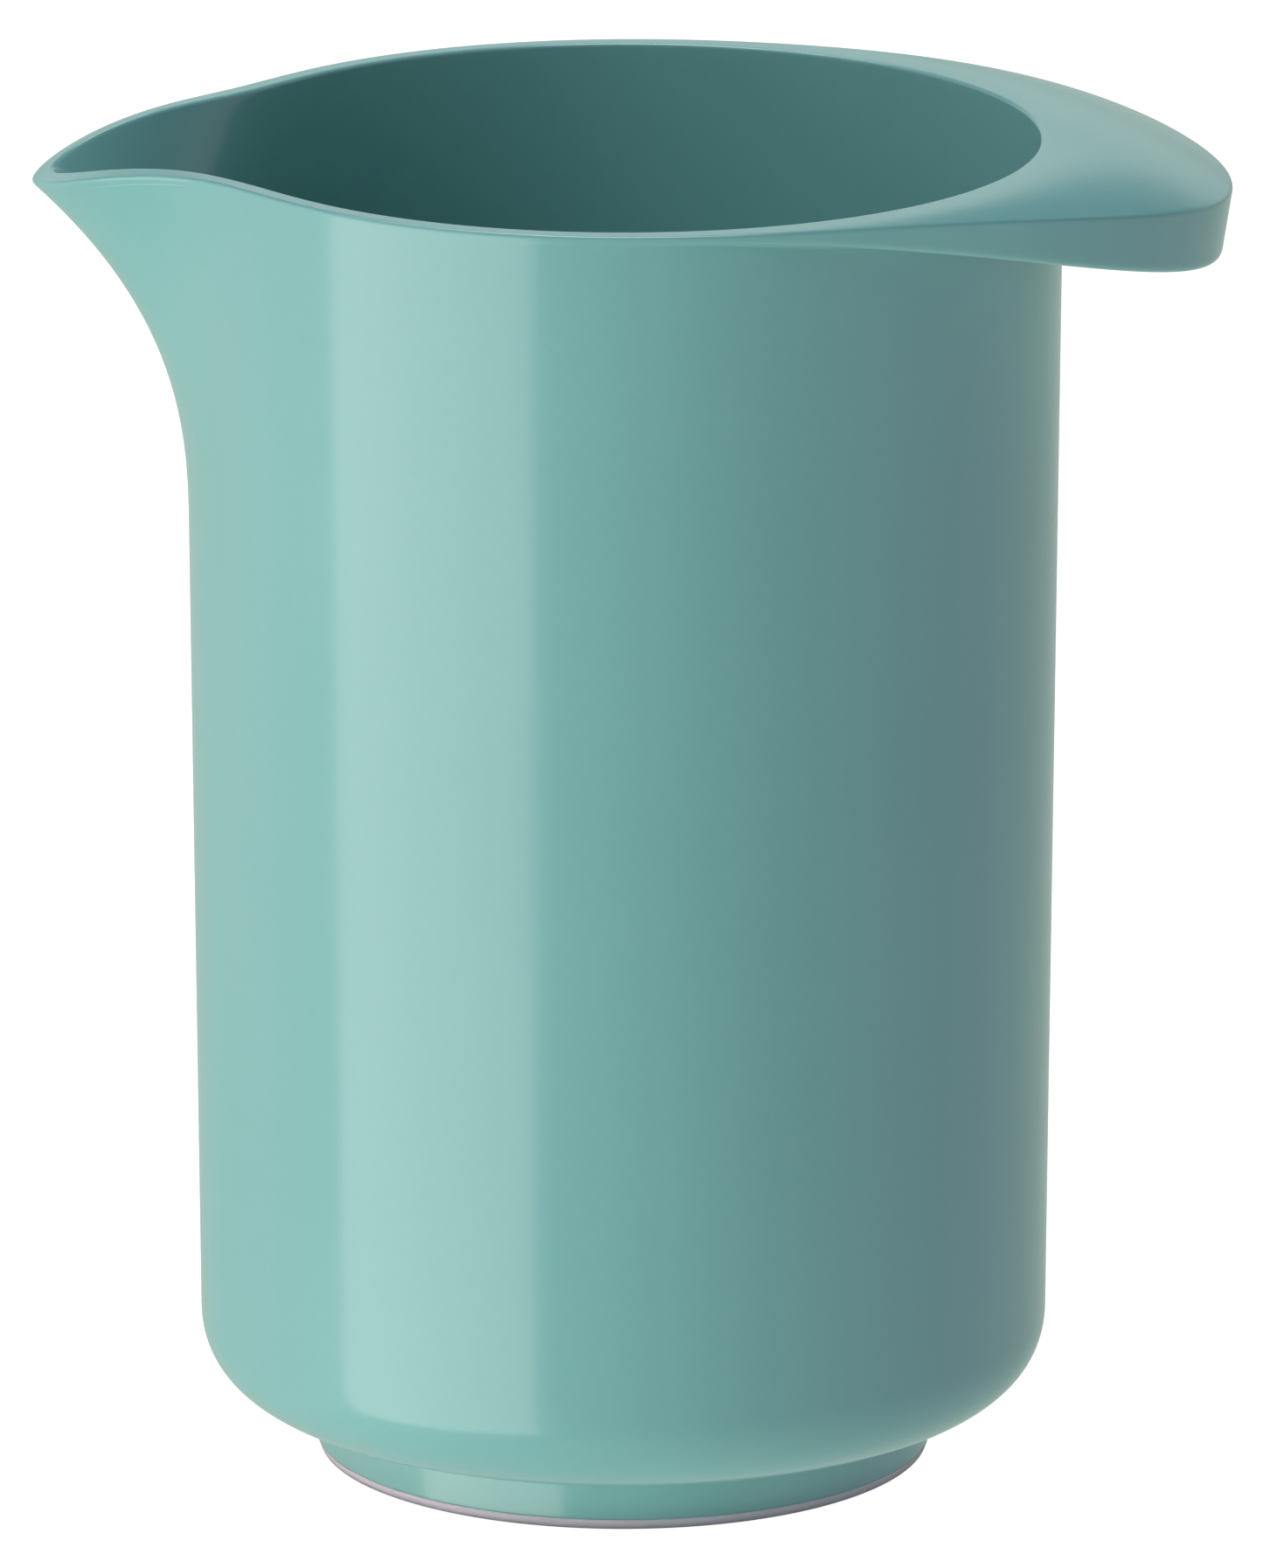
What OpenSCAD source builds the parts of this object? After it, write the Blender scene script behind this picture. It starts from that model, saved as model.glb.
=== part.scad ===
// Mixing jug: one moulded body with a pouring spout and a ledge handle, on a non-slip rubber ring.
// Origin on the jug's axis at the table. +X points to the handle, -X to the spout.

/* [Jug] */
// Height from the table to the rim
jug_height = 173.3; // [130:0.1:230]
// Outer radius of the round rim
rim_radius = 56; // [46:0.1:72]
// Wall thickness
wall = 2.95; // [2:0.05:4]
// How far the wall leans in on its way down, in degrees
draft_angle = 0.52; // [0:0.01:1.5]
// Radius of the softened rim edges
rim_fillet = 0.5; // [0.2:0.05:0.8]

/* [Bottom] */
// Height at which the wall turns into the rounded corner
corner_start = 19.15; // [17:0.05:30]
// Height of the rounded corner
corner_height = 13.6; // [8:0.1:16]
// Width of the rounded corner
corner_width = 17.3; // [13:0.1:22]
// How much the underside rises again towards the foot
corner_rise = 1.75; // [0:0.05:3]
// Fullness of the corner, where 2 is a plain ellipse
corner_fullness = 2.2; // [1.8:0.05:3]
// Thickness of the floor
floor_thickness = 3.2; // [2:0.1:6]

/* [Foot] */
// Outer radius of the foot where the rubber starts
foot_radius = 39.7; // [30:0.1:48]
// How much the foot widens on its way up, in degrees
foot_flare = 3.5; // [0:0.5:6]
// Radius of the fillet between the foot and the underside
foot_blend = 0.6; // [0.2:0.1:1.5]
// Width of the foot's rim, from outside to the recess
foot_width = 6; // [4.5:0.1:9]
// Height of the rubber that shows below the foot
ring_height = 1.4; // [1:0.05:3]
// How much narrower the rubber is at the table
ring_taper = 0.5; // [0:0.05:1]
// Height of the tongue that holds the rubber in the foot
tongue_height = 2; // [1:0.1:3]
// Width of the tongue
tongue_width = 2; // [1:0.1:3]
// Clearance round the tongue
tongue_clearance = 0.15; // [0.05:0.01:0.4]

/* [Spout] */
// How far the spout would stand out at rim height
spout_flare = 26.2; // [16:0.1:34]
// How far below the rim the spout starts
spout_depth = 49.8; // [30:0.1:80]
// How quickly the spout flares towards the rim
spout_curl = 2.47; // [2:0.01:3.5]
// Half-width of the spout seen from above, in degrees
spout_spread = 16; // [10:0.1:24]
// Squareness of the spout seen from above, where 2 is a plain bell
spout_squareness = 1.88; // [1.6:0.02:3]
// Radius at which the lip droops outside the rim circle
spout_droop_radius = 33.6; // [28:0.1:80]

/* [Handle] */
// Reach of the ledge beyond the rim circle
handle_reach = 21.6; // [10:0.1:30]
// Half-width of the ledge seen from above, in degrees
handle_spread = 43.5; // [30:0.5:55]
// Squareness of the ledge's outline, where 2 is a plain bell
handle_squareness = 2.15; // [2:0.05:3]
// Radius at which the top of the ledge droops
handle_droop_radius = 38.1; // [30:0.1:90]
// Radius of the arc that the underside of the ledge follows, from side to side of the jug
underside_radius = 212; // [150:1:400]
// How far below the rim that arc has its top
underside_start = 0.8; // [0:0.05:2]
// How much the ledge's edge leans in towards its underside, in degrees
edge_lean = 8.3; // [0:0.1:15]
// Radius of the rounding under the ledge's edge
edge_rounding = 0.9; // [0.5:0.1:3.5]

/* [Hidden] */

shell_columns = 96;
column_gather = 0.35;       // 0 spaces the columns evenly, more gathers them at the spout
wall_rows = 9;
top_rows = 5;
corner_rows = 8;
heel = 2;                   // extra width of the corner inside, which thickens the wall there, mm
rim_band = 1;               // least height of the rim's edge band, mm
band_step = 0.04;           // rise from one row of the underside to the next, mm
rounding_share = 0.45;      // most of the edge band that its rounding may take up
belly_gap = 0.2;            // how far the recess stays below the body's own underside, mm
probe_angle = 0.5;          // step for measuring the wall's slope round the jug, degrees
probe_height = 0.1;         // step for measuring its slope upwards, mm
draft = tan(draft_angle);
spout_start = jug_height - spout_depth;
recess_radius = foot_radius - foot_width;
recess_fillet = 1.5;
foot_end = corner_outside()[0];
foot_side_end = [foot_side(foot_end[1] - foot_blend), foot_end[1] - foot_blend];
recess_top = foot_end[1] - belly_gap;
floor_top = recess_top + floor_thickness;
groove_in = foot_radius - foot_width / 2 - tongue_width / 2 - tongue_clearance;
groove_out = groove_in + tongue_width + 2 * tongue_clearance;
groove_top = ring_height + tongue_height + tongue_clearance;

// ---- The jug's form: radius of the wall at an angle (degrees from the handle) and a height ----

function bell(angle, spread, power) = exp(-pow(abs(angle) / spread, power));
function wrap(angle) = abs(angle) > 180 ? abs(abs(angle) - 360) : abs(angle);
function round_wall(z) = rim_radius - draft * (jug_height - z);

function spout_rise(z) = max(0, (z - spout_start) / spout_depth);
function spout_reach(angle, z) = spout_rise(z) <= 0 ? 0 :
    spout_flare * pow(spout_rise(z), spout_curl)
    * bell(180 - wrap(angle), spout_spread, spout_squareness);
function outer(angle, z) = round_wall(z) + spout_reach(angle, z);

// The inner face lies one wall thickness inside, measured square to the outer face.
function slope_round(angle, z) =
    (outer(angle + probe_angle, z) - outer(angle - probe_angle, z))
    / (outer(angle, z) * 2 * probe_angle * PI / 180);
function slope_up(angle, z) =
    (outer(angle, z + probe_height) - outer(angle, z - probe_height)) / (2 * probe_height);
function inner(angle, z) = outer(angle, z)
    - wall * sqrt(1 + pow(slope_round(angle, z), 2) + pow(slope_up(angle, z), 2));

// The top of rim, lip and ledge is one surface, flat at the rim circle and drooping outside it.
function droop_radius(angle) = wrap(angle) < 90 ? handle_droop_radius : spout_droop_radius;
function top(angle, r) = jug_height - pow(max(0, r - rim_radius), 2) / (2 * droop_radius(angle));
function outer_edge(angle, r = rim_radius, turns = 24) = turns == 0 ? r :
    outer_edge(angle, (r + outer(angle, top(angle, r))) / 2, turns - 1);
function inner_edge(angle, r = rim_radius, turns = 24) = turns == 0 ? r :
    inner_edge(angle, (r + inner(angle, top(angle, r))) / 2, turns - 1);

function ledge(angle) = handle_reach * bell(wrap(angle), handle_spread, handle_squareness);
function underside(angle, r) = wrap(angle) > 90 ? jug_height :
    jug_height - underside_start - pow(r * cos(angle), 2) / (2 * underside_radius);

function bezier(a, b, c, t) = a * (1 - t) * (1 - t) + b * 2 * t * (1 - t) + c * t * t;
function ellipse_power(v) = pow(max(0, v), 2 / corner_fullness);

// ---- One column of the body, from the recess under it, up outside, over the rim and down inside ----

function foot_rows() = [
    [recess_radius - recess_fillet, recess_top],
    [recess_radius - recess_fillet * (1 - sin(45)), recess_top - recess_fillet * (1 - cos(45))],
    [recess_radius, recess_top - recess_fillet],
    [recess_radius, ring_height],
    [groove_in, ring_height],
    [groove_in, groove_top],
    [groove_out, groove_top],
    [groove_out, ring_height],
    [foot_radius, ring_height],
    foot_side_end,
    bezier(foot_side_end, [foot_side(foot_end[1]), foot_end[1]], foot_end, 0.5)
];

// The corner turns by t degrees from the wall. It ends at the foot, or once it is level if the
// foot stands further in, and a flat underside then runs on to the foot.
function corner(t, width, height, rise, r, z) =
    [r - width * (1 - ellipse_power(cos(t))),
     z - height * ellipse_power(sin(t)) + rise * (1 - ellipse_power(cos(t)))];
function foot_side(z) = foot_radius + tan(foot_flare) * (z - ring_height);
function foot_turn() =
    let (end_r = foot_side(corner_start - corner_height) + foot_blend,
         share = (round_wall(corner_start) - end_r) / corner_width)
    acos(pow(max(0, 1 - share), corner_fullness / 2));
function corner_outside() = [
    for (i = [0 : corner_rows])
        corner(foot_turn() * (1 - i / corner_rows), corner_width, corner_height, corner_rise,
               round_wall(corner_start), corner_start)
];

function edge_rows(angle) =
    let (
        rim_r = outer_edge(angle),
        reach = ledge(angle),
        edge_r = rim_r + reach,
        edge_z = top(angle, edge_r),
        under = function(r) min(edge_z - rim_band, underside(angle, r)) - 3 * band_step,
        side = function(z) outer(angle, z) + reach
            - min(reach / 2, tan(edge_lean) * (edge_z - z)),
        root_z = under(round_wall(edge_z)),
        low_z = under(side(root_z)) + 3 * band_step,
        root_r = outer(angle, root_z),
        low_corner_r = side(low_z),
        round_in = min(edge_rounding, rounding_share * (low_corner_r - root_r)),
        round_up = min(edge_rounding, rounding_share * (edge_z - low_z)),
        side_end = [side(edge_z - rim_fillet), edge_z - rim_fillet],
        top_start = [edge_r - rim_fillet, top(angle, edge_r - rim_fillet)],
        rim_in = inner_edge(angle),
        top_end = [rim_in + rim_fillet, top(angle, rim_in + rim_fillet)],
        inside_z = top(angle, rim_in) - rim_fillet,
        inside_start = [inner(angle, inside_z), inside_z]
    )
    concat(
        [for (i = [0 : wall_rows - 1])
            let (z = spout_start + (root_z - spout_start) * i / wall_rows)
            [outer(angle, z), z]],
        [for (i = [0 : 2])
            let (r = root_r + (low_corner_r - round_in - root_r) * i / 3)
            [r, min(root_z, under(r)) + i * band_step]],
        [for (i = [0 : 3])
            let (t = i / 3, z = low_z + round_up * t * t)
            [side(z) - round_in * (1 - t) * (1 - t), z]],
        [for (t = [0, 0.5, 1]) bezier(side_end, [edge_r, edge_z], top_start, t)],
        [for (i = [1 : top_rows - 1])
            let (r = top_start[0] + (top_end[0] - top_start[0]) * i / top_rows)
            [r, top(angle, r)]],
        [for (t = [0, 0.5, 1]) bezier(top_end, [rim_in, top(angle, rim_in)], inside_start, t)],
        [for (i = [1 : wall_rows])
            let (z = inside_z + (spout_start - inside_z) * i / wall_rows)
            [inner(angle, z), z]]
    );

inside_width = corner_width - wall + heel;
inside_height = corner_start - floor_top;
function corner_inside() = [
    for (i = [0 : corner_rows])
        corner(90 * i / corner_rows, inside_width, inside_height, 0,
               round_wall(corner_start) - wall, corner_start)
];

function column(angle) = concat(
    foot_rows(), corner_outside(), edge_rows(angle), corner_inside());

// ---- Skin over all the columns ----

function column_angle(i) =
    let (turn = 360 * i / shell_columns)
    180 + turn - column_gather * sin(turn) * 180 / PI;

function skin_points() = concat(
    [for (i = [0 : shell_columns - 1])
        let (angle = column_angle(i), from_handle = angle > 180 ? angle - 360 : angle)
        for (p = column(from_handle)) [p[0] * cos(angle), p[0] * sin(angle), p[1]]],
    [[0, 0, recess_top], [0, 0, floor_top]]
);
function skin_faces(rows) =
    let (under = shell_columns * rows, inside = under + 1)
    concat(
        [for (i = [0 : shell_columns - 1])
            let (a = i * rows, b = ((i + 1) % shell_columns) * rows)
            for (j = [0 : rows - 2]) each [
                [a + j, a + j + 1, b + j + 1],
                [a + j, b + j + 1, b + j]
            ]],
        [for (i = [0 : shell_columns - 1])
            let (a = i * rows, b = ((i + 1) % shell_columns) * rows)
            each [
                [under, a, b],
                [inside, b + rows - 1, a + rows - 1]
            ]]
    );

// ---- Pieces ----

module jug_body() {
    color([0.42, 0.70, 0.66])
        polyhedron(points = skin_points(), faces = skin_faces(len(column(0))), convexity = 6);
}

module nonslip_ring() {
    ring_in = recess_radius + tongue_clearance;
    tongue_in = groove_in + tongue_clearance;
    table_round = 0.3;
    color([0.57, 0.56, 0.59])
        rotate_extrude($fn = 180)
            polygon([
                [ring_in + table_round, 0],
                [foot_radius - ring_taper - table_round, 0],
                [foot_radius - ring_taper, table_round],
                [foot_radius, ring_height],
                [tongue_in + tongue_width, ring_height],
                [tongue_in + tongue_width, ring_height + tongue_height],
                [tongue_in, ring_height + tongue_height],
                [tongue_in, ring_height],
                [ring_in, ring_height],
                [ring_in, table_round]
            ]);
}

jug_body();
nonslip_ring();
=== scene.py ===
"""Mixing jug: a moulded jug with a pouring spout and a ledge handle, standing on a non-slip rubber ring.

Z is up and the origin is on the jug's axis, on the table. +X points to the handle and -X to the spout.
The script is laid out as an add-on, with its sizes and finishes as properties and one operator a piece.
"""

import math

import bmesh
import bpy
from bpy.props import FloatProperty, FloatVectorProperty, IntProperty, PointerProperty
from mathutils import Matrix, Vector


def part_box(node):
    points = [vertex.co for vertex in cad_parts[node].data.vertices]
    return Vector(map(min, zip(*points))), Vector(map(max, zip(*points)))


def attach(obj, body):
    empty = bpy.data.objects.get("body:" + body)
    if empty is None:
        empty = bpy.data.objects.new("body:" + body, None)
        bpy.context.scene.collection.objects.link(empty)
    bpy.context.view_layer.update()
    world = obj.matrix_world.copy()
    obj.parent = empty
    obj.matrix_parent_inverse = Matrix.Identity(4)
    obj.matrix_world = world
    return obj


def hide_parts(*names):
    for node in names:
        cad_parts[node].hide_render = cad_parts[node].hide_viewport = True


bl_info = {
    "name": "Mixing Jug",
    "version": (1, 0, 0),
    "blender": (4, 5, 0),
    "location": "View3D > Sidebar > Mixing Jug",
    "description": "Builds a moulded mixing jug with a rubber ring under its foot",
    "category": "Add Mesh",
}

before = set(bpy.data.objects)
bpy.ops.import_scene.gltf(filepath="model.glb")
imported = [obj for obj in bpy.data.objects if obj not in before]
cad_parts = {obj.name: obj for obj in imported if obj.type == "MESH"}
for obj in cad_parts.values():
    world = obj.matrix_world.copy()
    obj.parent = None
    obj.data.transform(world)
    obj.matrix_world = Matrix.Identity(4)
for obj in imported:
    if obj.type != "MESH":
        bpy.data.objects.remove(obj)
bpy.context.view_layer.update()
JUG_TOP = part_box("jug_body")[1].z
RING_LOW, RING_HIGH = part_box("nonslip_ring")
MM = 0.001
SAME_PLACE = 1e-6
DOUBLES = 1e-7
WHITE = (1.0, 1.0, 1.0)

# The room's light by direction: which way a side lies, how near to that way it fades in, its colour.
ROOM_FRONT = (0.372, 0.418, 0.425)
ROOM_SIDES = (
    ((0, 1, 0), -0.45, 0.15, (0.505, 0.570, 0.515)),
    ((-1, 0, 0), 0.60, 0.90, (0.760, 0.525, 0.505)),
    ((0.905, 0, -0.425), 0.66, 0.98, (0.635, 0.595, 0.725)),
    ((0, 0, 1), 0.24, 0.44, (0.028, 0.036, 0.080)),
    ((0, 0, -1), 0.50, 0.75, (0.580, 0.600, 0.575)),
)

# The light panels: name, centre, aim, size, tint, and what they light. A "matt" panel is left out of the
# gloss of the surfaces, and a "gloss" panel is seen in the gloss only.
PANELS = (
    ("key_reflection", (-0.946, -0.739, -0.40), (0, 0, -0.40), (1.33, 0.85), (1.0, 0.89, 0.80), "gloss"),
    ("key_low", (-1.04, -0.813, -0.45), (0, 0, -0.45), (1.46, 0.94), WHITE, "matt"),
    ("key_high", (-0.906, -0.658, 1.33), (0, 0, 0.09), (1.2, 0.8), (0.98, 0.98, 1.06), "matt"),
    ("top_panel", (0, 0.5, 1.3), (0, 0, 0.1), (1.2, 0.6), (1.0, 1.0, 1.05), "matt"),
    ("rim_glint", (-0.1, 0.3, 1.15), (0, 0, 0.17), (0.5, 0.9), WHITE, "gloss"),
    ("back_panel", (0, 1.5, 0.50), (0, 0, 0.17), (2.4, 0.26), WHITE, "gloss"),
)


# ---------------------------------------------------------------------------------------------------
# Sizes, finishes and studio settings
# ---------------------------------------------------------------------------------------------------


def length(name, default, description):
    """A size in metres."""
    return FloatProperty(
        name=name, description=description, default=default, min=0.0, unit="LENGTH", precision=5
    )


def angle(name, degrees, description):
    """An angle, given in degrees and kept in radians."""
    return FloatProperty(
        name=name, description=description, default=math.radians(degrees), subtype="ANGLE"
    )


def number(name, default, description):
    """A plain number."""
    return FloatProperty(name=name, description=description, default=default, precision=4)


def colour(name, default, description):
    """A linear RGB colour."""
    return FloatVectorProperty(
        name=name, description=description, default=default, size=3, subtype="COLOR", min=0.0, max=1.0
    )


class JugSizes(bpy.types.PropertyGroup):
    """Sizes of the moulded jug"""

    height: length("Height", JUG_TOP, "From the table to the rim")
    rim_radius: length("Rim radius", 56 * MM, "Outer radius of the round rim")
    wall: length("Wall", 2.95 * MM, "Wall thickness")
    draft: angle("Draft", 0.52, "How far the wall leans in on its way down")
    rim_fillet: length("Rim fillet", 0.5 * MM, "Radius of the softened rim edges")
    corner_start: length("Corner start", 19.15 * MM, "Height at which the wall turns into the corner")
    corner_height: length("Corner height", 13.6 * MM, "Height of the rounded corner")
    corner_width: length("Corner width", 17.3 * MM, "Width of the rounded corner")
    corner_rise: length("Corner rise", 1.75 * MM, "How much the underside rises again to the foot")
    corner_fullness: number("Corner fullness", 2.2, "2 is a plain ellipse, and more is squarer")
    floor: length("Floor", 3.2 * MM, "Thickness of the floor")
    heel: length("Heel", 2 * MM, "Extra width of the corner inside, where the wall thickens")

    foot_radius: length("Foot radius", RING_HIGH.x, "Outer radius of the foot where the rubber starts")
    foot_flare: angle("Foot flare", 3.5, "How much the foot widens on its way up")
    foot_blend: length("Foot blend", 0.6 * MM, "Fillet between the foot and the underside")
    foot_width: length("Foot width", 6 * MM, "From the outside of the foot to its recess")
    recess_fillet: length("Recess fillet", 1.5 * MM, "Fillet in the recess under the foot")

    spout_flare: length("Spout flare", 26.2 * MM, "How far the spout would stand out at rim height")
    spout_depth: length("Spout depth", 49.8 * MM, "How far below the rim the spout starts")
    spout_curl: number("Spout curl", 2.47, "How quickly the spout flares towards the rim")
    spout_side_curl: number("Spout side curl", 0.3, "How much later the flare starts at the spout's sides")
    spout_spread: angle("Spout spread", 16, "Half-width of the spout seen from above")
    spout_squareness: number("Spout squareness", 1.88, "2 is a plain bell, and more is squarer")
    spout_droop: length("Spout droop", 33.6 * MM, "Radius at which the lip droops")

    ledge_reach: length("Ledge reach", 21.6 * MM, "Reach of the ledge beyond the rim circle")
    ledge_spread: angle("Ledge spread", 43.5, "Half-width of the ledge seen from above")
    ledge_squareness: number("Ledge squareness", 2.15, "2 is a plain bell, and more is squarer")
    ledge_droop: length("Ledge droop", 38.1 * MM, "Radius at which the top of the ledge droops")
    underside_radius: length("Underside radius", 212 * MM, "Arc of the ledge's underside, across it")
    underside_start: length("Underside start", 0.8 * MM, "How far below the rim that arc has its top")
    edge_lean: angle("Edge lean", 8.3, "How much the ledge's edge leans in towards its underside")
    edge_rounding: length("Edge rounding", 0.9 * MM, "Rounding along the lower edge of the ledge")
    root_fillet: length("Root fillet", 0.6 * MM, "Fillet where the ledge's underside meets the wall")
    rim_band: length("Rim band", 1 * MM, "Least height of the rim's edge band")

    columns: IntProperty(name="Columns", description="Faces round the jug", default=384, min=32)
    gather: number("Gather", 0.35, "0 spaces the columns evenly, and more gathers them at the spout")


class RingSizes(bpy.types.PropertyGroup):
    """Sizes of the non-slip rubber ring"""

    shown_height: length("Shown height", 1.4 * MM, "Height of the rubber below the foot")
    taper: length("Taper", 0.5 * MM, "How much narrower the rubber is at the table")
    edge_radius: length("Edge radius", 0.3 * MM, "Rounding of the edges at the table")
    tongue_width: length("Tongue width", 2 * MM, "Width of the tongue that sits in the foot")
    clearance: length("Clearance", 0.15 * MM, "Clearance round the tongue and in the recess")
    steps: IntProperty(name="Steps", description="Faces round the ring", default=256, min=32)


class JugFinish(bpy.types.PropertyGroup):
    """Colours and gloss"""

    body_colour: colour("Body", (0.205, 0.475, 0.437), "Melamine, coloured all through")
    body_deep: colour("Body, deep tone", (0.188, 0.452, 0.420), "The darker end of its slight drift")
    body_roughness: number("Body roughness", 0.14, "Gloss of the moulded surface")
    rubber_colour: colour("Rubber", (0.810, 0.735, 0.795), "Non-slip ring")
    rubber_worn: colour("Rubber, worn tone", (0.880, 0.815, 0.870), "Where the ring has rubbed")
    rubber_roughness: number("Rubber roughness", 0.74, "Matt finish of the rubber")


class StudioSettings(bpy.types.PropertyGroup):
    """Camera, floor and lights"""

    distance: length("Camera distance", 2.2317, "From the aim point")
    elevation: angle("Camera elevation", 15.1455, "Above the horizon")
    aim_height: length("Aim height", 87.9 * MM, "Height of the point that the camera looks at")
    lens: number("Lens", 399.05, "Focal length in millimetres on a 36 mm sensor")
    shift_x: number("Shift", 0.0052, "Framing shift, as a share of the longer side")
    key_low: number("Low key light", 3.50, "Brightness of the large side panel below the table's height")
    key_high: number("High key light", 3.60, "Brightness of the large side panel above the jug")
    key_reflection: number("Key reflection", 1.90, "Brightness of the side panel in the gloss")
    top_panel: number("Top light", 3.80, "Brightness of the overhead panel")
    rim_glint: number("Rim glint", 5.0, "Brightness of the overhead panel in the gloss")
    back_panel: number("Back reflection", 0.15, "Brightness behind the jug, seen in the gloss of its top")
    floor_glow: number("Floor glow", 0.97, "How bright the pale floor looks by itself")
    floor_radius: length("Floor radius", 5, "How far the flat floor reaches")
    floor_bend: length("Floor bend", 1.5, "Radius of the bend from the floor to the wall")
    wall_height: length("Wall height", 5, "Top of the pale wall")
    shade_radius: length("Shade radius", 42.4 * MM, "Radius of the shading disc under the foot")
    shade_depth: length("Shade depth", 0.1 * MM, "How far below the table that disc lies")


# ---------------------------------------------------------------------------------------------------
# The jug's form
# ---------------------------------------------------------------------------------------------------


def bell(turn, spread, squareness):
    """1 in the middle, falling off smoothly to 0 at both sides."""
    return math.exp(-((abs(turn) / spread) ** squareness))


def curve(a, b, c, steps):
    """Points of a soft corner from a to c, pulled towards b."""
    shares = [i / steps for i in range(steps + 1)]
    return [
        tuple(p * (1 - t) ** 2 + q * 2 * t * (1 - t) + r * t**2 for p, q, r in zip(a, b, c))
        for t in shares
    ]


def between(a, b, shares):
    """Points on the straight line from a to b."""
    return [tuple(p + (q - p) * t for p, q in zip(a, b)) for t in shares]


class JugForm:
    """Half-sections of the jug, at any angle round it, as (radius, height) points.

    Angles are in radians from the handle. Every section has the same number of points, from the middle
    of the recess under the foot, up the outside, over the rim and down the inside to the floor.
    """

    ROUGH_ANGLE = math.radians(0.5)
    ROUGH_HEIGHT = 0.1 * MM
    SOLVER_TURNS = 24
    BAND_STEP = 0.12 * MM
    ROUNDING_SHARE = 0.45
    RECESS_GAP = 0.2 * MM
    FOOT_EDGE = 0.2 * MM
    TONGUE_HEIGHT = 2 * MM
    STEEPEST_CURL = 25.0
    RIM_GATHER = 1.15

    def __init__(self, sizes, ring):
        self.s = sizes
        self.ring = ring
        self.spout_start = sizes.height - sizes.spout_depth
        self.foot_end = self.corner_outside()[0]
        self.recess_radius = sizes.foot_radius - sizes.foot_width
        self.recess_top = self.foot_end[1] - self.RECESS_GAP
        self.floor_top = self.recess_top + sizes.floor

    # The wall

    def round_wall(self, z):
        return self.s.rim_radius - math.tan(self.s.draft) * (self.s.height - z)

    def outer(self, turn, z):
        """The wall with the spout on it, whose flare starts later the further from its middle."""
        rise = (z - self.spout_start) / self.s.spout_depth
        if rise <= 0:
            return self.round_wall(z)
        from_spout = math.pi - abs(turn)
        sideways = bell(from_spout, self.s.spout_spread, self.s.spout_squareness)
        late = 1 + self.s.spout_side_curl * (from_spout / self.s.spout_spread) ** 2
        curl = min(self.s.spout_curl * late, self.STEEPEST_CURL)
        return self.round_wall(z) + self.s.spout_flare * rise**curl * sideways

    def inner(self, turn, z):
        """One wall thickness inside the outer face, measured square to it."""
        r = self.outer(turn, z)
        across = self.outer(turn + self.ROUGH_ANGLE, z) - self.outer(turn - self.ROUGH_ANGLE, z)
        upward = self.outer(turn, z + self.ROUGH_HEIGHT) - self.outer(turn, z - self.ROUGH_HEIGHT)
        slope_round = across / (r * 2 * self.ROUGH_ANGLE)
        slope_up = upward / (2 * self.ROUGH_HEIGHT)
        return r - self.s.wall * math.sqrt(1 + slope_round**2 + slope_up**2)

    # The top of rim, lip and ledge: flat at the rim circle and drooping outside it

    def top(self, turn, r):
        droop = self.s.ledge_droop if abs(turn) < math.pi / 2 else self.s.spout_droop
        return self.s.height - max(0.0, r - self.s.rim_radius) ** 2 / (2 * droop)

    def edge_radius(self, wall_at, turn):
        """Radius at which a wall meets the top, found by halving in on it."""
        r = self.s.rim_radius
        for _ in range(self.SOLVER_TURNS):
            r = (r + wall_at(turn, self.top(turn, r))) / 2
        return r

    def ledge(self, turn):
        return self.s.ledge_reach * bell(turn, self.s.ledge_spread, self.s.ledge_squareness)

    def ledge_underside(self, turn, r):
        if abs(turn) > math.pi / 2:
            return self.s.height
        arc_top = self.s.height - self.s.underside_start
        return arc_top - (r * math.cos(turn)) ** 2 / (2 * self.s.underside_radius)

    # The foot and the rounded corner

    def foot_side(self, z):
        return self.s.foot_radius + math.tan(self.s.foot_flare) * (z - self.ring.shown_height)

    def corner_point(self, t, width, height, rise, r, z):
        power = 2 / self.s.corner_fullness
        along = 1 - max(0.0, math.cos(t)) ** power
        down = max(0.0, math.sin(t)) ** power
        return (r - width * along, z - height * down + rise * along)

    def corner_outside(self, steps=30):
        """From the foot to the wall."""
        s = self.s
        start_r = self.round_wall(s.corner_start)
        end_r = self.foot_side(s.corner_start - s.corner_height) + s.foot_blend
        share = max(0.0, 1 - (start_r - end_r) / s.corner_width)
        full_turn = math.acos(share ** (s.corner_fullness / 2))
        return [
            self.corner_point(
                full_turn * (1 - i / steps),
                s.corner_width,
                s.corner_height,
                s.corner_rise,
                start_r,
                s.corner_start,
            )
            for i in range(steps + 1)
        ]

    def corner_inside(self, steps=26):
        """From the wall to the floor."""
        s = self.s
        start_r = self.round_wall(s.corner_start) - s.wall
        width = s.corner_width - s.wall + s.heel
        height = s.corner_start - self.floor_top
        quarter = math.pi / 2
        return [
            self.corner_point(quarter * i / steps, width, height, 0, start_r, s.corner_start)
            for i in range(steps + 1)
        ]

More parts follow.
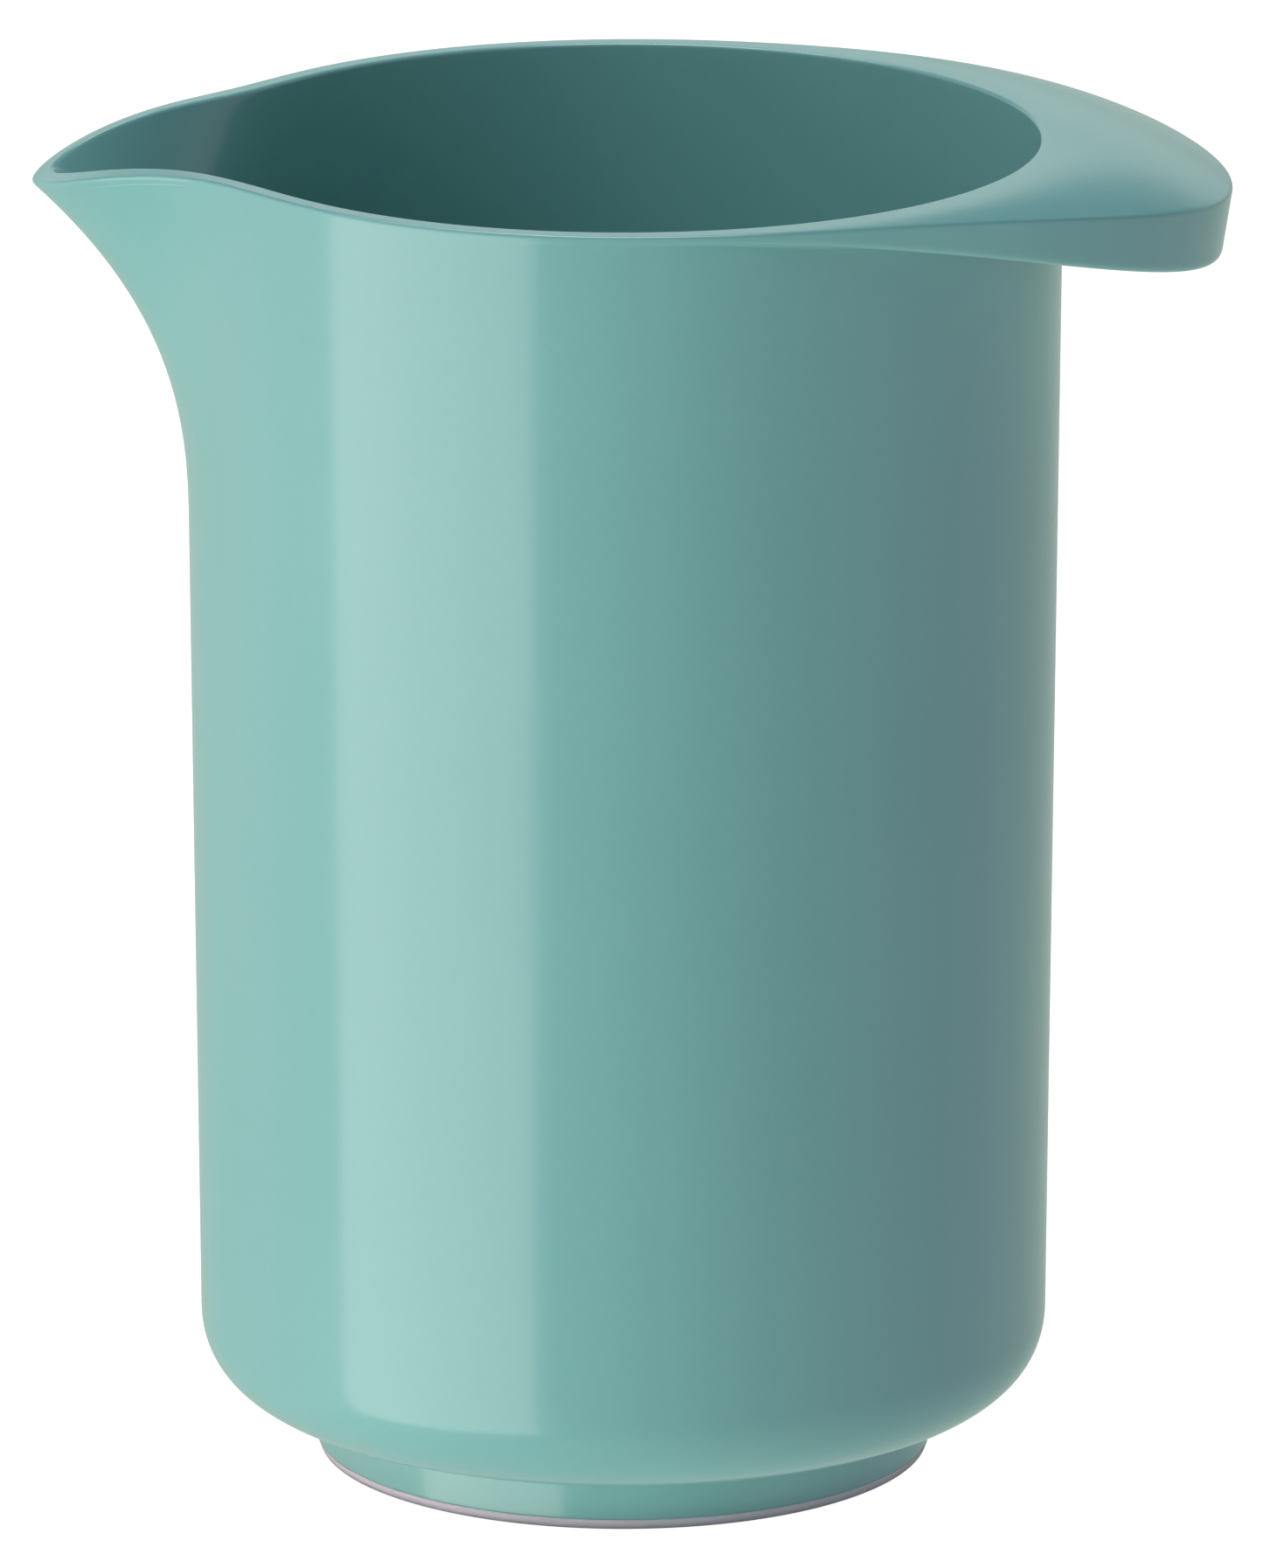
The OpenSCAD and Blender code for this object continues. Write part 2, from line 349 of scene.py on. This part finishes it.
    def foot(self):
        """From the middle of the recess to the top of the foot."""
        s, ring = self.s, self.ring
        low, edge = ring.shown_height, self.FOOT_EDGE
        recess_r, recess_z = self.recess_radius, self.recess_top
        middle = s.foot_radius - s.foot_width / 2
        groove_in = middle - ring.tongue_width / 2 - ring.clearance
        groove_out = middle + ring.tongue_width / 2 + ring.clearance
        groove_top = low + self.TONGUE_HEIGHT + ring.clearance
        fillet_start = (recess_r - s.recess_fillet, recess_z)
        fillet_end = (recess_r, recess_z - s.recess_fillet)
        side_end = (self.foot_side(self.foot_end[1] - s.foot_blend), self.foot_end[1] - s.foot_blend)
        side_corner = (self.foot_side(self.foot_end[1]), self.foot_end[1])
        edge_end = (self.foot_side(low + edge), low + edge)
        return (
            between((0.0, recess_z), fillet_start, (0, 0.3, 0.6, 0.85, 0.97))
            + curve(fillet_start, (recess_r, recess_z), fillet_end, 6)
            + between(fillet_end, (recess_r, low + edge), (0.1, 0.5, 0.95))
            + curve((recess_r, low + edge), (recess_r, low), (recess_r + edge, low), 3)
            + [(groove_in, low), (groove_in, groove_top), (groove_out, groove_top), (groove_out, low)]
            + curve((s.foot_radius - edge, low), (s.foot_radius, low), edge_end, 4)
            + between(edge_end, side_end, (0.06, 0.35, 0.65, 0.94))
            + curve(side_end, side_corner, self.foot_end, 5)[:-1]
        )

    # The whole half-section

    def rim(self, turn):
        """From the start of the spout up the outside, round the ledge's edge, and down inside again."""
        s = self.s
        rim_r = self.edge_radius(self.outer, turn)
        reach = self.ledge(turn)
        edge_r = rim_r + reach
        edge_z = self.top(turn, edge_r)

        def under(r):
            return min(edge_z - s.rim_band, self.ledge_underside(turn, r)) - self.BAND_STEP

        def side(z):
            lean = math.tan(s.edge_lean) * (edge_z - z)
            return self.outer(turn, z) + reach - min(reach / 2, lean)

        root_z = under(self.round_wall(edge_z))
        low_z = under(side(root_z)) + self.BAND_STEP
        root_r = self.outer(turn, root_z)
        low_r = side(low_z)
        width = low_r - root_r
        round_in = min(s.edge_rounding, self.ROUNDING_SHARE * width)
        round_up = min(s.edge_rounding, self.ROUNDING_SHARE * (edge_z - low_z))
        root_in = min(s.root_fillet, self.ROUNDING_SHARE / 2 * width)
        wall_top_z = root_z - s.root_fillet

        def under_point(share):
            r = root_r + root_in + (low_r - round_in - root_r - root_in) * share
            return (r, min(root_z, under(r)) + share * self.BAND_STEP)

        def rounding_point(t):
            z = low_z + round_up * t**2
            return (side(z) - round_in * (1 - t) ** 2, z)

        side_start = low_z + round_up
        side_end = (side(edge_z - s.rim_fillet), edge_z - s.rim_fillet)
        top_start = (edge_r - s.rim_fillet, self.top(turn, edge_r - s.rim_fillet))
        inner_r = self.edge_radius(self.inner, turn)
        top_end = (inner_r + s.rim_fillet, self.top(turn, inner_r + s.rim_fillet))
        inner_z = self.top(turn, inner_r) - s.rim_fillet
        inner_start = (self.inner(turn, inner_z), inner_z)

        wall_heights = [self.spout_start + (wall_top_z - self.spout_start) * t for t in self.rises()]
        side_heights = [side_start + (side_end[1] - side_start) * t for t in (0.08, 0.35, 0.65, 0.92)]
        top_radii = [
            top_start[0] + (top_end[0] - top_start[0]) * t
            for t in (0.03, 0.12, 0.28, 0.45, 0.62, 0.78, 0.9, 0.97)
        ]
        inner_heights = [inner_z + (self.spout_start - inner_z) * (1 - t) for t in self.rises()[::-1]]
        return (
            [(self.outer(turn, z), z) for z in wall_heights]
            + curve((self.outer(turn, wall_top_z), wall_top_z), (root_r, root_z), under_point(0), 4)
            + [under_point(t) for t in (0.1, 0.35, 0.65, 0.9)]
            + [rounding_point(i / 6) for i in range(7)]
            + [(side(z), z) for z in side_heights]
            + curve(side_end, (edge_r, edge_z), top_start, 6)
            + [(r, self.top(turn, r)) for r in top_radii]
            + curve(top_end, (inner_r, self.top(turn, inner_r)), inner_start, 6)
            + [(self.inner(turn, z), z) for z in inner_heights]
        )

    def rises(self, steps=26):
        """Shares of the wall from the start of the spout to the rim, closer together near the rim."""
        return [1 - (1 - i / steps) ** self.RIM_GATHER for i in range(steps)]

    def section(self, turn):
        s = self.s
        wall_low = (self.round_wall(s.corner_start), s.corner_start)
        wall_high = (self.round_wall(self.spout_start), self.spout_start)
        inner_high = (wall_high[0] - s.wall, self.spout_start)
        inner_low = (wall_low[0] - s.wall, s.corner_start)
        corner_inside = self.corner_inside()
        return (
            self.foot()
            + self.corner_outside()
            + between(wall_low, wall_high, (0.05, 0.2, 0.4, 0.6, 0.8))
            + self.rim(turn)
            + between(inner_high, inner_low, (0, 0.2, 0.4, 0.6, 0.8, 0.95))
            + corner_inside
            + between(corner_inside[-1], (0.0, self.floor_top), (0.05, 0.2, 0.45, 0.7, 1))
        )

    def column_turn(self, column):
        """Angle of a column from the handle, between -pi and pi."""
        turn = 2 * math.pi * column / self.s.columns
        from_handle = math.pi + turn - self.s.gather * math.sin(turn)
        return from_handle - 2 * math.pi if from_handle > math.pi else from_handle


def spin_section(section, columns):
    """Lathes a half-section into a closed skin. Its points keep their row number in the row layer."""
    bm = bmesh.new()
    row_of = bm.verts.layers.int.new("row")
    rows = []
    for row, (r, z) in enumerate(section):
        vert = bm.verts.new((r, 0.0, z))
        vert[row_of] = row
        rows.append(vert)
    edges = [bm.edges.new(pair) for pair in zip(rows, rows[1:])]
    bmesh.ops.spin(
        bm,
        geom=rows + edges,
        cent=(0, 0, 0),
        axis=(0, 0, 1),
        angle=2 * math.pi,
        steps=columns,
        use_merge=True,
    )
    return bm, row_of


def draw_out(bm, row_of, form):
    """Moves every column of a lathed jug to the section at its own angle: spout and ledge are drawn out."""
    columns = form.s.columns
    sections = [form.section(form.column_turn(column)) for column in range(columns)]
    for vert in bm.verts:
        column = round(math.atan2(vert.co.y, vert.co.x) / (2 * math.pi) * columns) % columns
        r, z = sections[column][vert[row_of]]
        turn = form.column_turn(column)
        vert.co = (r * math.cos(turn), r * math.sin(turn), z)


def close_up(bm):
    """Merges doubles and turns all faces outwards."""
    bmesh.ops.remove_doubles(bm, verts=bm.verts[:], dist=DOUBLES)
    bmesh.ops.recalc_face_normals(bm, faces=bm.faces[:])


def finish_piece(bm, name, node, material):
    """Turns a bmesh into a smooth piece that stands for a CAD node."""
    mesh = bpy.data.meshes.new(name)
    for face in bm.faces:
        face.smooth = True
    bm.to_mesh(mesh)
    bm.free()
    piece = bpy.data.objects.new(name, mesh)
    bpy.context.scene.collection.objects.link(piece)
    mesh.materials.append(material)
    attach(piece, "root")
    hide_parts(node)
    return piece


# ---------------------------------------------------------------------------------------------------
# Node groups and materials
# ---------------------------------------------------------------------------------------------------


def place(tree, kind, values=(), **settings):
    """Adds a node, with its settings and the values of its inputs."""
    node = tree.nodes.new(kind)
    for key, value in settings.items():
        setattr(node, key, value)
    for key, value in dict(values).items():
        node.inputs[key].default_value = value
    return node


def wire(tree, *pairs):
    """Links each output to its input."""
    for output, target in pairs:
        tree.links.new(output, target)


def line_up(tree, spacing=220):
    """Sets the nodes out in a row in the order they were made."""
    for i, node in enumerate(tree.nodes):
        node.location = (i * spacing, -(i % 3) * spacing)


def new_group(name, inputs, outputs):
    """An empty node group with its sockets."""
    group = bpy.data.node_groups.new(name, "ShaderNodeTree")
    for socket, kind in inputs:
        group.interface.new_socket(name=socket, in_out="INPUT", socket_type=kind)
    for socket, kind in outputs:
        group.interface.new_socket(name=socket, in_out="OUTPUT", socket_type=kind)
    return group, group.nodes.new("NodeGroupInput"), group.nodes.new("NodeGroupOutput")


def use_group(tree, group, values):
    """Places a node group with its own values."""
    node = place(tree, "ShaderNodeGroup", node_tree=group)
    for key, value in values.items():
        node.inputs[key].default_value = value
    return node


def tone_drift_group():
    """Colour that drifts slowly between two tones, with a finer cloud in it."""
    group, inside, outside = new_group(
        "Tone drift",
        [
            ("Vector", "NodeSocketVector"),
            ("Light tone", "NodeSocketColor"),
            ("Deep tone", "NodeSocketColor"),
            ("Cloud scale", "NodeSocketFloat"),
            ("Fine scale", "NodeSocketFloat"),
            ("Fine share", "NodeSocketFloat"),
        ],
        [("Color", "NodeSocketColor")],
    )
    cloud = place(group, "ShaderNodeTexNoise", {"Detail": 3.0, "Roughness": 0.5})
    fine = place(group, "ShaderNodeTexNoise", {"Detail": 4.0, "Roughness": 0.6})
    blend = place(group, "ShaderNodeMix", data_type="FLOAT")
    spread = place(
        group, "ShaderNodeMapRange", {"From Min": 0.3, "From Max": 0.7}, interpolation_type="SMOOTHSTEP"
    )
    tone = place(group, "ShaderNodeMix", data_type="RGBA")
    wire(
        group,
        (inside.outputs["Vector"], cloud.inputs["Vector"]),
        (inside.outputs["Vector"], fine.inputs["Vector"]),
        (inside.outputs["Cloud scale"], cloud.inputs["Scale"]),
        (inside.outputs["Fine scale"], fine.inputs["Scale"]),
        (inside.outputs["Fine share"], blend.inputs["Factor"]),
        (cloud.outputs["Fac"], blend.inputs["A"]),
        (fine.outputs["Fac"], blend.inputs["B"]),
        (blend.outputs["Result"], spread.inputs["Value"]),
        (spread.outputs["Result"], tone.inputs["Factor"]),
        (inside.outputs["Deep tone"], tone.inputs["A"]),
        (inside.outputs["Light tone"], tone.inputs["B"]),
        (tone.outputs["Result"], outside.inputs["Color"]),
    )
    line_up(group)
    return group


def handling_haze_group():
    """Roughness that is a little higher in soft clouds and along a few fine wipe marks."""
    group, inside, outside = new_group(
        "Handling haze",
        [
            ("Vector", "NodeSocketVector"),
            ("Clean", "NodeSocketFloat"),
            ("Hazy", "NodeSocketFloat"),
            ("Cloud scale", "NodeSocketFloat"),
            ("Wipe scale", "NodeSocketFloat"),
        ],
        [("Roughness", "NodeSocketFloat")],
    )
    cloud = place(group, "ShaderNodeTexNoise", {"Detail": 4.0, "Roughness": 0.55, "Distortion": 0.4})
    stretch = place(group, "ShaderNodeMapping", {"Rotation": (0.3, 0.2, 0.0), "Scale": (1.0, 1.0, 9.0)})
    wipe = place(group, "ShaderNodeTexNoise", {"Detail": 5.0, "Roughness": 0.7})
    both = place(group, "ShaderNodeMath", operation="MULTIPLY")
    spread = place(
        group, "ShaderNodeMapRange", {"From Min": 0.18, "From Max": 0.42}, interpolation_type="SMOOTHSTEP"
    )
    rough = place(group, "ShaderNodeMix", data_type="FLOAT")
    wire(
        group,
        (inside.outputs["Vector"], cloud.inputs["Vector"]),
        (inside.outputs["Cloud scale"], cloud.inputs["Scale"]),
        (inside.outputs["Vector"], stretch.inputs["Vector"]),
        (stretch.outputs["Vector"], wipe.inputs["Vector"]),
        (inside.outputs["Wipe scale"], wipe.inputs["Scale"]),
        (cloud.outputs["Fac"], both.inputs[0]),
        (wipe.outputs["Fac"], both.inputs[1]),
        (both.outputs["Value"], spread.inputs["Value"]),
        (spread.outputs["Result"], rough.inputs["Factor"]),
        (inside.outputs["Clean"], rough.inputs["A"]),
        (inside.outputs["Hazy"], rough.inputs["B"]),
        (rough.outputs["Result"], outside.inputs["Roughness"]),
    )
    line_up(group)
    return group


def surface_ripple_group():
    """Height of a surface that is gently wavy, with a fine grain on top."""
    group, inside, outside = new_group(
        "Surface ripple",
        [
            ("Vector", "NodeSocketVector"),
            ("Wave scale", "NodeSocketFloat"),
            ("Grain scale", "NodeSocketFloat"),
            ("Grain share", "NodeSocketFloat"),
        ],
        [("Height", "NodeSocketFloat")],
    )
    wave = place(group, "ShaderNodeTexNoise", {"Detail": 1.0, "Roughness": 0.4})
    grain = place(group, "ShaderNodeTexNoise", {"Detail": 3.0, "Roughness": 0.6})
    blend = place(group, "ShaderNodeMix", data_type="FLOAT")
    wire(
        group,
        (inside.outputs["Vector"], wave.inputs["Vector"]),
        (inside.outputs["Vector"], grain.inputs["Vector"]),
        (inside.outputs["Wave scale"], wave.inputs["Scale"]),
        (inside.outputs["Grain scale"], grain.inputs["Scale"]),
        (inside.outputs["Grain share"], blend.inputs["Factor"]),
        (wave.outputs["Fac"], blend.inputs["A"]),
        (grain.outputs["Fac"], blend.inputs["B"]),
        (blend.outputs["Result"], outside.inputs["Height"]),
    )
    line_up(group)
    return group


def shared_group(name, make):
    """A node group that is built once and used in each material."""
    return bpy.data.node_groups.get(name) or make()


def moulded_material(name, tones, haze, ripple, bump):
    """A coloured, procedural surface with its drift, haze and ripple, each with its own values."""
    material = bpy.data.materials.new(name)
    material.use_nodes = True
    tree = material.node_tree
    tree.nodes.clear()
    where = place(tree, "ShaderNodeTexCoord")
    drift = use_group(tree, shared_group("Tone drift", tone_drift_group), tones)
    gloss = use_group(tree, shared_group("Handling haze", handling_haze_group), haze)
    height = use_group(tree, shared_group("Surface ripple", surface_ripple_group), ripple)
    relief = place(tree, "ShaderNodeBump", bump)
    shader = place(tree, "ShaderNodeBsdfPrincipled")
    output = place(tree, "ShaderNodeOutputMaterial")
    wire(
        tree,
        (where.outputs["Object"], drift.inputs["Vector"]),
        (where.outputs["Object"], gloss.inputs["Vector"]),
        (where.outputs["Object"], height.inputs["Vector"]),
        (drift.outputs["Color"], shader.inputs["Base Color"]),
        (gloss.outputs["Roughness"], shader.inputs["Roughness"]),
        (height.outputs["Height"], relief.inputs["Height"]),
        (relief.outputs["Normal"], shader.inputs["Normal"]),
        (shader.outputs["BSDF"], output.inputs["Surface"]),
    )
    line_up(tree)
    return material, shader


def glossy_melamine(finish):
    """Smooth, hard moulded plastic, coloured all through."""
    material, shader = moulded_material(
        "glossy_melamine",
        {
            "Light tone": (*finish.body_colour, 1),
            "Deep tone": (*finish.body_deep, 1),
            "Cloud scale": 14.0,
            "Fine scale": 900.0,
            "Fine share": 0.25,
        },
        {
            "Clean": finish.body_roughness,
            "Hazy": finish.body_roughness + 0.05,
            "Cloud scale": 22.0,
            "Wipe scale": 60.0,
        },
        {"Wave scale": 26.0, "Grain scale": 1500.0, "Grain share": 0.02},
        {"Strength": 0.06, "Distance": 0.001},
    )
    shader.inputs["IOR"].default_value = 1.58
    return material


def matt_rubber(finish):
    """Soft, matt rubber with a fine grain."""
    material, shader = moulded_material(
        "matt_rubber",
        {
            "Light tone": (*finish.rubber_worn, 1),
            "Deep tone": (*finish.rubber_colour, 1),
            "Cloud scale": 60.0,
            "Fine scale": 1800.0,
            "Fine share": 0.5,
        },
        {
            "Clean": finish.rubber_roughness,
            "Hazy": finish.rubber_roughness + 0.14,
            "Cloud scale": 90.0,
            "Wipe scale": 300.0,
        },
        {"Wave scale": 300.0, "Grain scale": 2600.0, "Grain share": 0.7},
        {"Strength": 0.35, "Distance": 0.0002},
    )
    shader.inputs["IOR"].default_value = 1.5
    shader.inputs["Specular IOR Level"].default_value = 0.35
    return material


# ---------------------------------------------------------------------------------------------------
# Studio
# ---------------------------------------------------------------------------------------------------


def aim(piece, target):
    """Points an object's -Z at a place."""
    direction = Vector(target) - piece.location
    piece.rotation_euler = direction.to_track_quat("-Z", "Y").to_euler()


def add_camera(studio):
    data = bpy.data.cameras.new("camera")
    camera = bpy.data.objects.new("camera", data)
    bpy.context.scene.collection.objects.link(camera)
    reach = studio.distance * math.cos(studio.elevation)
    rise = studio.distance * math.sin(studio.elevation)
    camera.location = (0, -reach, studio.aim_height + rise)
    aim(camera, (0, 0, studio.aim_height))
    data.sensor_width = 36.0
    data.lens = studio.lens
    data.shift_x = studio.shift_x
    data.clip_end = 30.0
    bpy.context.scene.camera = camera


def add_panel(name, centre, target, size, tint, light, radiance):
    """A soft light panel, as bright as its radiance says whatever its size."""
    data = bpy.data.lights.new(name, "AREA")
    data.shape = "RECTANGLE"
    data.size, data.size_y = size
    data.energy = radiance * math.pi * size[0] * size[1]
    data.color = tint
    panel = bpy.data.objects.new(name, data)
    bpy.context.scene.collection.objects.link(panel)
    panel.location = centre
    aim(panel, target)
    panel.visible_camera = False
    panel.visible_diffuse = light == "matt"
    panel.visible_glossy = light == "gloss"


def white_backdrop(name, glow):
    """A pale matt surface that looks brightly lit, and is clear from behind."""
    material = bpy.data.materials.new(name)
    material.use_nodes = True
    tree = material.node_tree
    tree.nodes.clear()
    shader = place(
        tree,
        "ShaderNodeBsdfPrincipled",
        {
            "Base Color": (0.25, 0.25, 0.25, 1),
            "Roughness": 1.0,
            "Specular IOR Level": 0.0,
            "Emission Color": (1, 1, 1, 1),
            "Emission Strength": glow,
        },
    )
    clear = place(tree, "ShaderNodeBsdfTransparent")
    side = place(tree, "ShaderNodeNewGeometry")
    either = place(tree, "ShaderNodeMixShader")
    output = place(tree, "ShaderNodeOutputMaterial")
    wire(
        tree,
        (side.outputs["Backfacing"], either.inputs["Fac"]),
        (shader.outputs["BSDF"], either.inputs[1]),
        (clear.outputs["BSDF"], either.inputs[2]),
        (either.outputs["Shader"], output.inputs["Surface"]),
    )
    line_up(tree)
    return material


def add_stage_piece(bm, name, material):
    """Turns a bmesh into a piece of the studio."""
    mesh = bpy.data.meshes.new(name)
    bm.to_mesh(mesh)
    bm.free()
    piece = bpy.data.objects.new(name, mesh)
    bpy.context.scene.collection.objects.link(piece)
    mesh.materials.append(material)
    return piece


def add_foot_shade(studio, segments=64):
    """A small disc of table under the foot, which keeps light from below off it and is not seen itself."""
    bm = bmesh.new()
    bmesh.ops.create_circle(bm, cap_ends=True, segments=segments, radius=studio.shade_radius)
    disc = add_stage_piece(bm, "foot_shade", white_backdrop("table_under_foot", 0.0))
    disc.location.z = -studio.shade_depth
    disc.visible_camera = False
    disc.visible_glossy = False


def add_sweep(studio, columns=64):
    """The floor, which curves up into a pale wall far away all round, and is seen by the camera only."""
    wall_radius = studio.floor_radius + studio.floor_bend
    bend = curve(
        (studio.floor_radius, 0.0), (wall_radius, 0.0), (wall_radius, studio.floor_bend), 8
    )
    bm, _ = spin_section([(0.0, 0.0)] + bend + [(wall_radius, studio.wall_height)], columns)
    bmesh.ops.remove_doubles(bm, verts=bm.verts[:], dist=SAME_PLACE)
    for face in bm.faces:
        face.smooth = True
        face.normal_update()
    if sum(face.normal.z for face in bm.faces) < 0:
        bmesh.ops.reverse_faces(bm, faces=bm.faces[:])
    sweep = add_stage_piece(bm, "studio_sweep", white_backdrop("pale_sweep", studio.floor_glow))
    sweep.visible_diffuse = False
    sweep.visible_glossy = False
    sweep.visible_shadow = False


def add_surroundings():
    """Light that the room gives off by direction, as pale walls, a dim side in front and a dim ceiling."""
    world = bpy.data.worlds.new("studio_room")
    bpy.context.scene.world = world
    world.use_nodes = True
    tree = world.node_tree
    tree.nodes.clear()
    where = place(tree, "ShaderNodeTexCoord")
    room = place(tree, "ShaderNodeRGB").outputs["Color"]
    room.default_value = (*ROOM_FRONT, 1)
    for direction, start, end, tint in ROOM_SIDES:
        nearness = place(tree, "ShaderNodeVectorMath", {1: direction}, operation="DOT_PRODUCT")
        share = place(
            tree,
            "ShaderNodeMapRange",
            {"From Min": start, "From Max": end},
            interpolation_type="SMOOTHSTEP",
        )
        side = place(tree, "ShaderNodeMix", {"B": (*tint, 1)}, data_type="RGBA")
        wire(
            tree,
            (where.outputs["Generated"], nearness.inputs[0]),
            (nearness.outputs["Value"], share.inputs["Value"]),
            (share.outputs["Result"], side.inputs["Factor"]),
            (room, side.inputs["A"]),
        )
        room = side.outputs["Result"]
    background = place(tree, "ShaderNodeBackground")
    output = place(tree, "ShaderNodeOutputWorld")
    wire(
        tree,
        (room, background.inputs["Color"]),
        (background.outputs["Background"], output.inputs["Surface"]),
    )
    line_up(tree)


# ---------------------------------------------------------------------------------------------------
# Operators
# ---------------------------------------------------------------------------------------------------


class JUG_OT_body(bpy.types.Operator):
    """Build the moulded jug with its spout and ledge handle"""

    bl_idname = "jug.body"
    bl_label = "Moulded Jug"

    def execute(self, context):
        scene = context.scene
        form = JugForm(scene.jug_sizes, scene.jug_ring)
        bm, row_of = spin_section(form.section(math.pi / 2), form.s.columns)
        draw_out(bm, row_of, form)
        close_up(bm)
        finish_piece(bm, "moulded_jug", "jug_body", glossy_melamine(scene.jug_finish))
        return {"FINISHED"}


class JUG_OT_ring(bpy.types.Operator):
    """Build the non-slip rubber ring under the foot"""

    bl_idname = "jug.ring"
    bl_label = "Rubber Ring"

    def execute(self, context):
        scene = context.scene
        jug, ring = scene.jug_sizes, scene.jug_ring
        outer_r = jug.foot_radius
        inner_r = outer_r - jug.foot_width + ring.clearance
        middle = outer_r - jug.foot_width / 2
        tongue_in, tongue_out = middle - ring.tongue_width / 2, middle + ring.tongue_width / 2
        low, high, tongue_top = RING_LOW.z, ring.shown_height, RING_HIGH.z
        section = [
            (inner_r, low),
            (outer_r - ring.taper, low),
            (outer_r, high),
            (tongue_out, high),
            (tongue_out, tongue_top),
            (tongue_in, tongue_top),
            (tongue_in, high),
            (inner_r, high),
            (inner_r, low),
        ]
        bm, _ = spin_section(section, ring.steps)
        close_up(bm)
        table_edges = [
            edge
            for edge in bm.edges
            if all(abs(v.co.z - low) < SAME_PLACE for v in edge.verts)
            and abs(edge.verts[0].co.xy.length - edge.verts[1].co.xy.length) < SAME_PLACE
        ]
        bmesh.ops.bevel(
            bm,
            geom=table_edges,
            offset=ring.edge_radius,
            segments=4,
            profile=0.5,
            affect="EDGES",
            material=-1,
        )
        close_up(bm)
        finish_piece(bm, "rubber_ring", "nonslip_ring", matt_rubber(scene.jug_finish))
        return {"FINISHED"}


class JUG_OT_studio(bpy.types.Operator):
    """Set up the camera, the pale floor and the soft studio light"""

    bl_idname = "jug.studio"
    bl_label = "Studio"

    def execute(self, context):
        studio = context.scene.jug_studio
        context.scene.view_settings.view_transform = "Standard"
        add_camera(studio)
        add_sweep(studio)
        add_foot_shade(studio)
        add_surroundings()
        for panel in PANELS:
            add_panel(*panel, getattr(studio, panel[0]))
        return {"FINISHED"}


class VIEW3D_PT_mixing_jug(bpy.types.Panel):
    """Buttons and sizes of the mixing jug"""

    bl_label = "Mixing Jug"
    bl_idname = "VIEW3D_PT_mixing_jug"
    bl_space_type = "VIEW_3D"
    bl_region_type = "UI"
    bl_category = "Mixing Jug"

    def draw(self, context):
        layout = self.layout
        for operator in OPERATORS:
            layout.operator(operator.bl_idname)
        for holder in HOLDERS:
            group = getattr(context.scene, holder)
            box = layout.box()
            box.label(text=type(group).__name__)
            for key in type(group).__annotations__:
                box.prop(group, key)


OPERATORS = (JUG_OT_body, JUG_OT_ring, JUG_OT_studio)
HOLDERS = {
    "jug_sizes": JugSizes,
    "jug_ring": RingSizes,
    "jug_finish": JugFinish,
    "jug_studio": StudioSettings,
}


def register():
    for cls in (*HOLDERS.values(), *OPERATORS, VIEW3D_PT_mixing_jug):
        bpy.utils.register_class(cls)
    for holder, cls in HOLDERS.items():
        setattr(bpy.types.Scene, holder, PointerProperty(type=cls))


def unregister():
    for holder in HOLDERS:
        delattr(bpy.types.Scene, holder)
    for cls in (VIEW3D_PT_mixing_jug, *reversed(OPERATORS), *reversed(HOLDERS.values())):
        bpy.utils.unregister_class(cls)


def main():
    register()
    bpy.ops.jug.body()
    bpy.ops.jug.ring()
    bpy.ops.jug.studio()


if __name__ == "__main__":
    main()
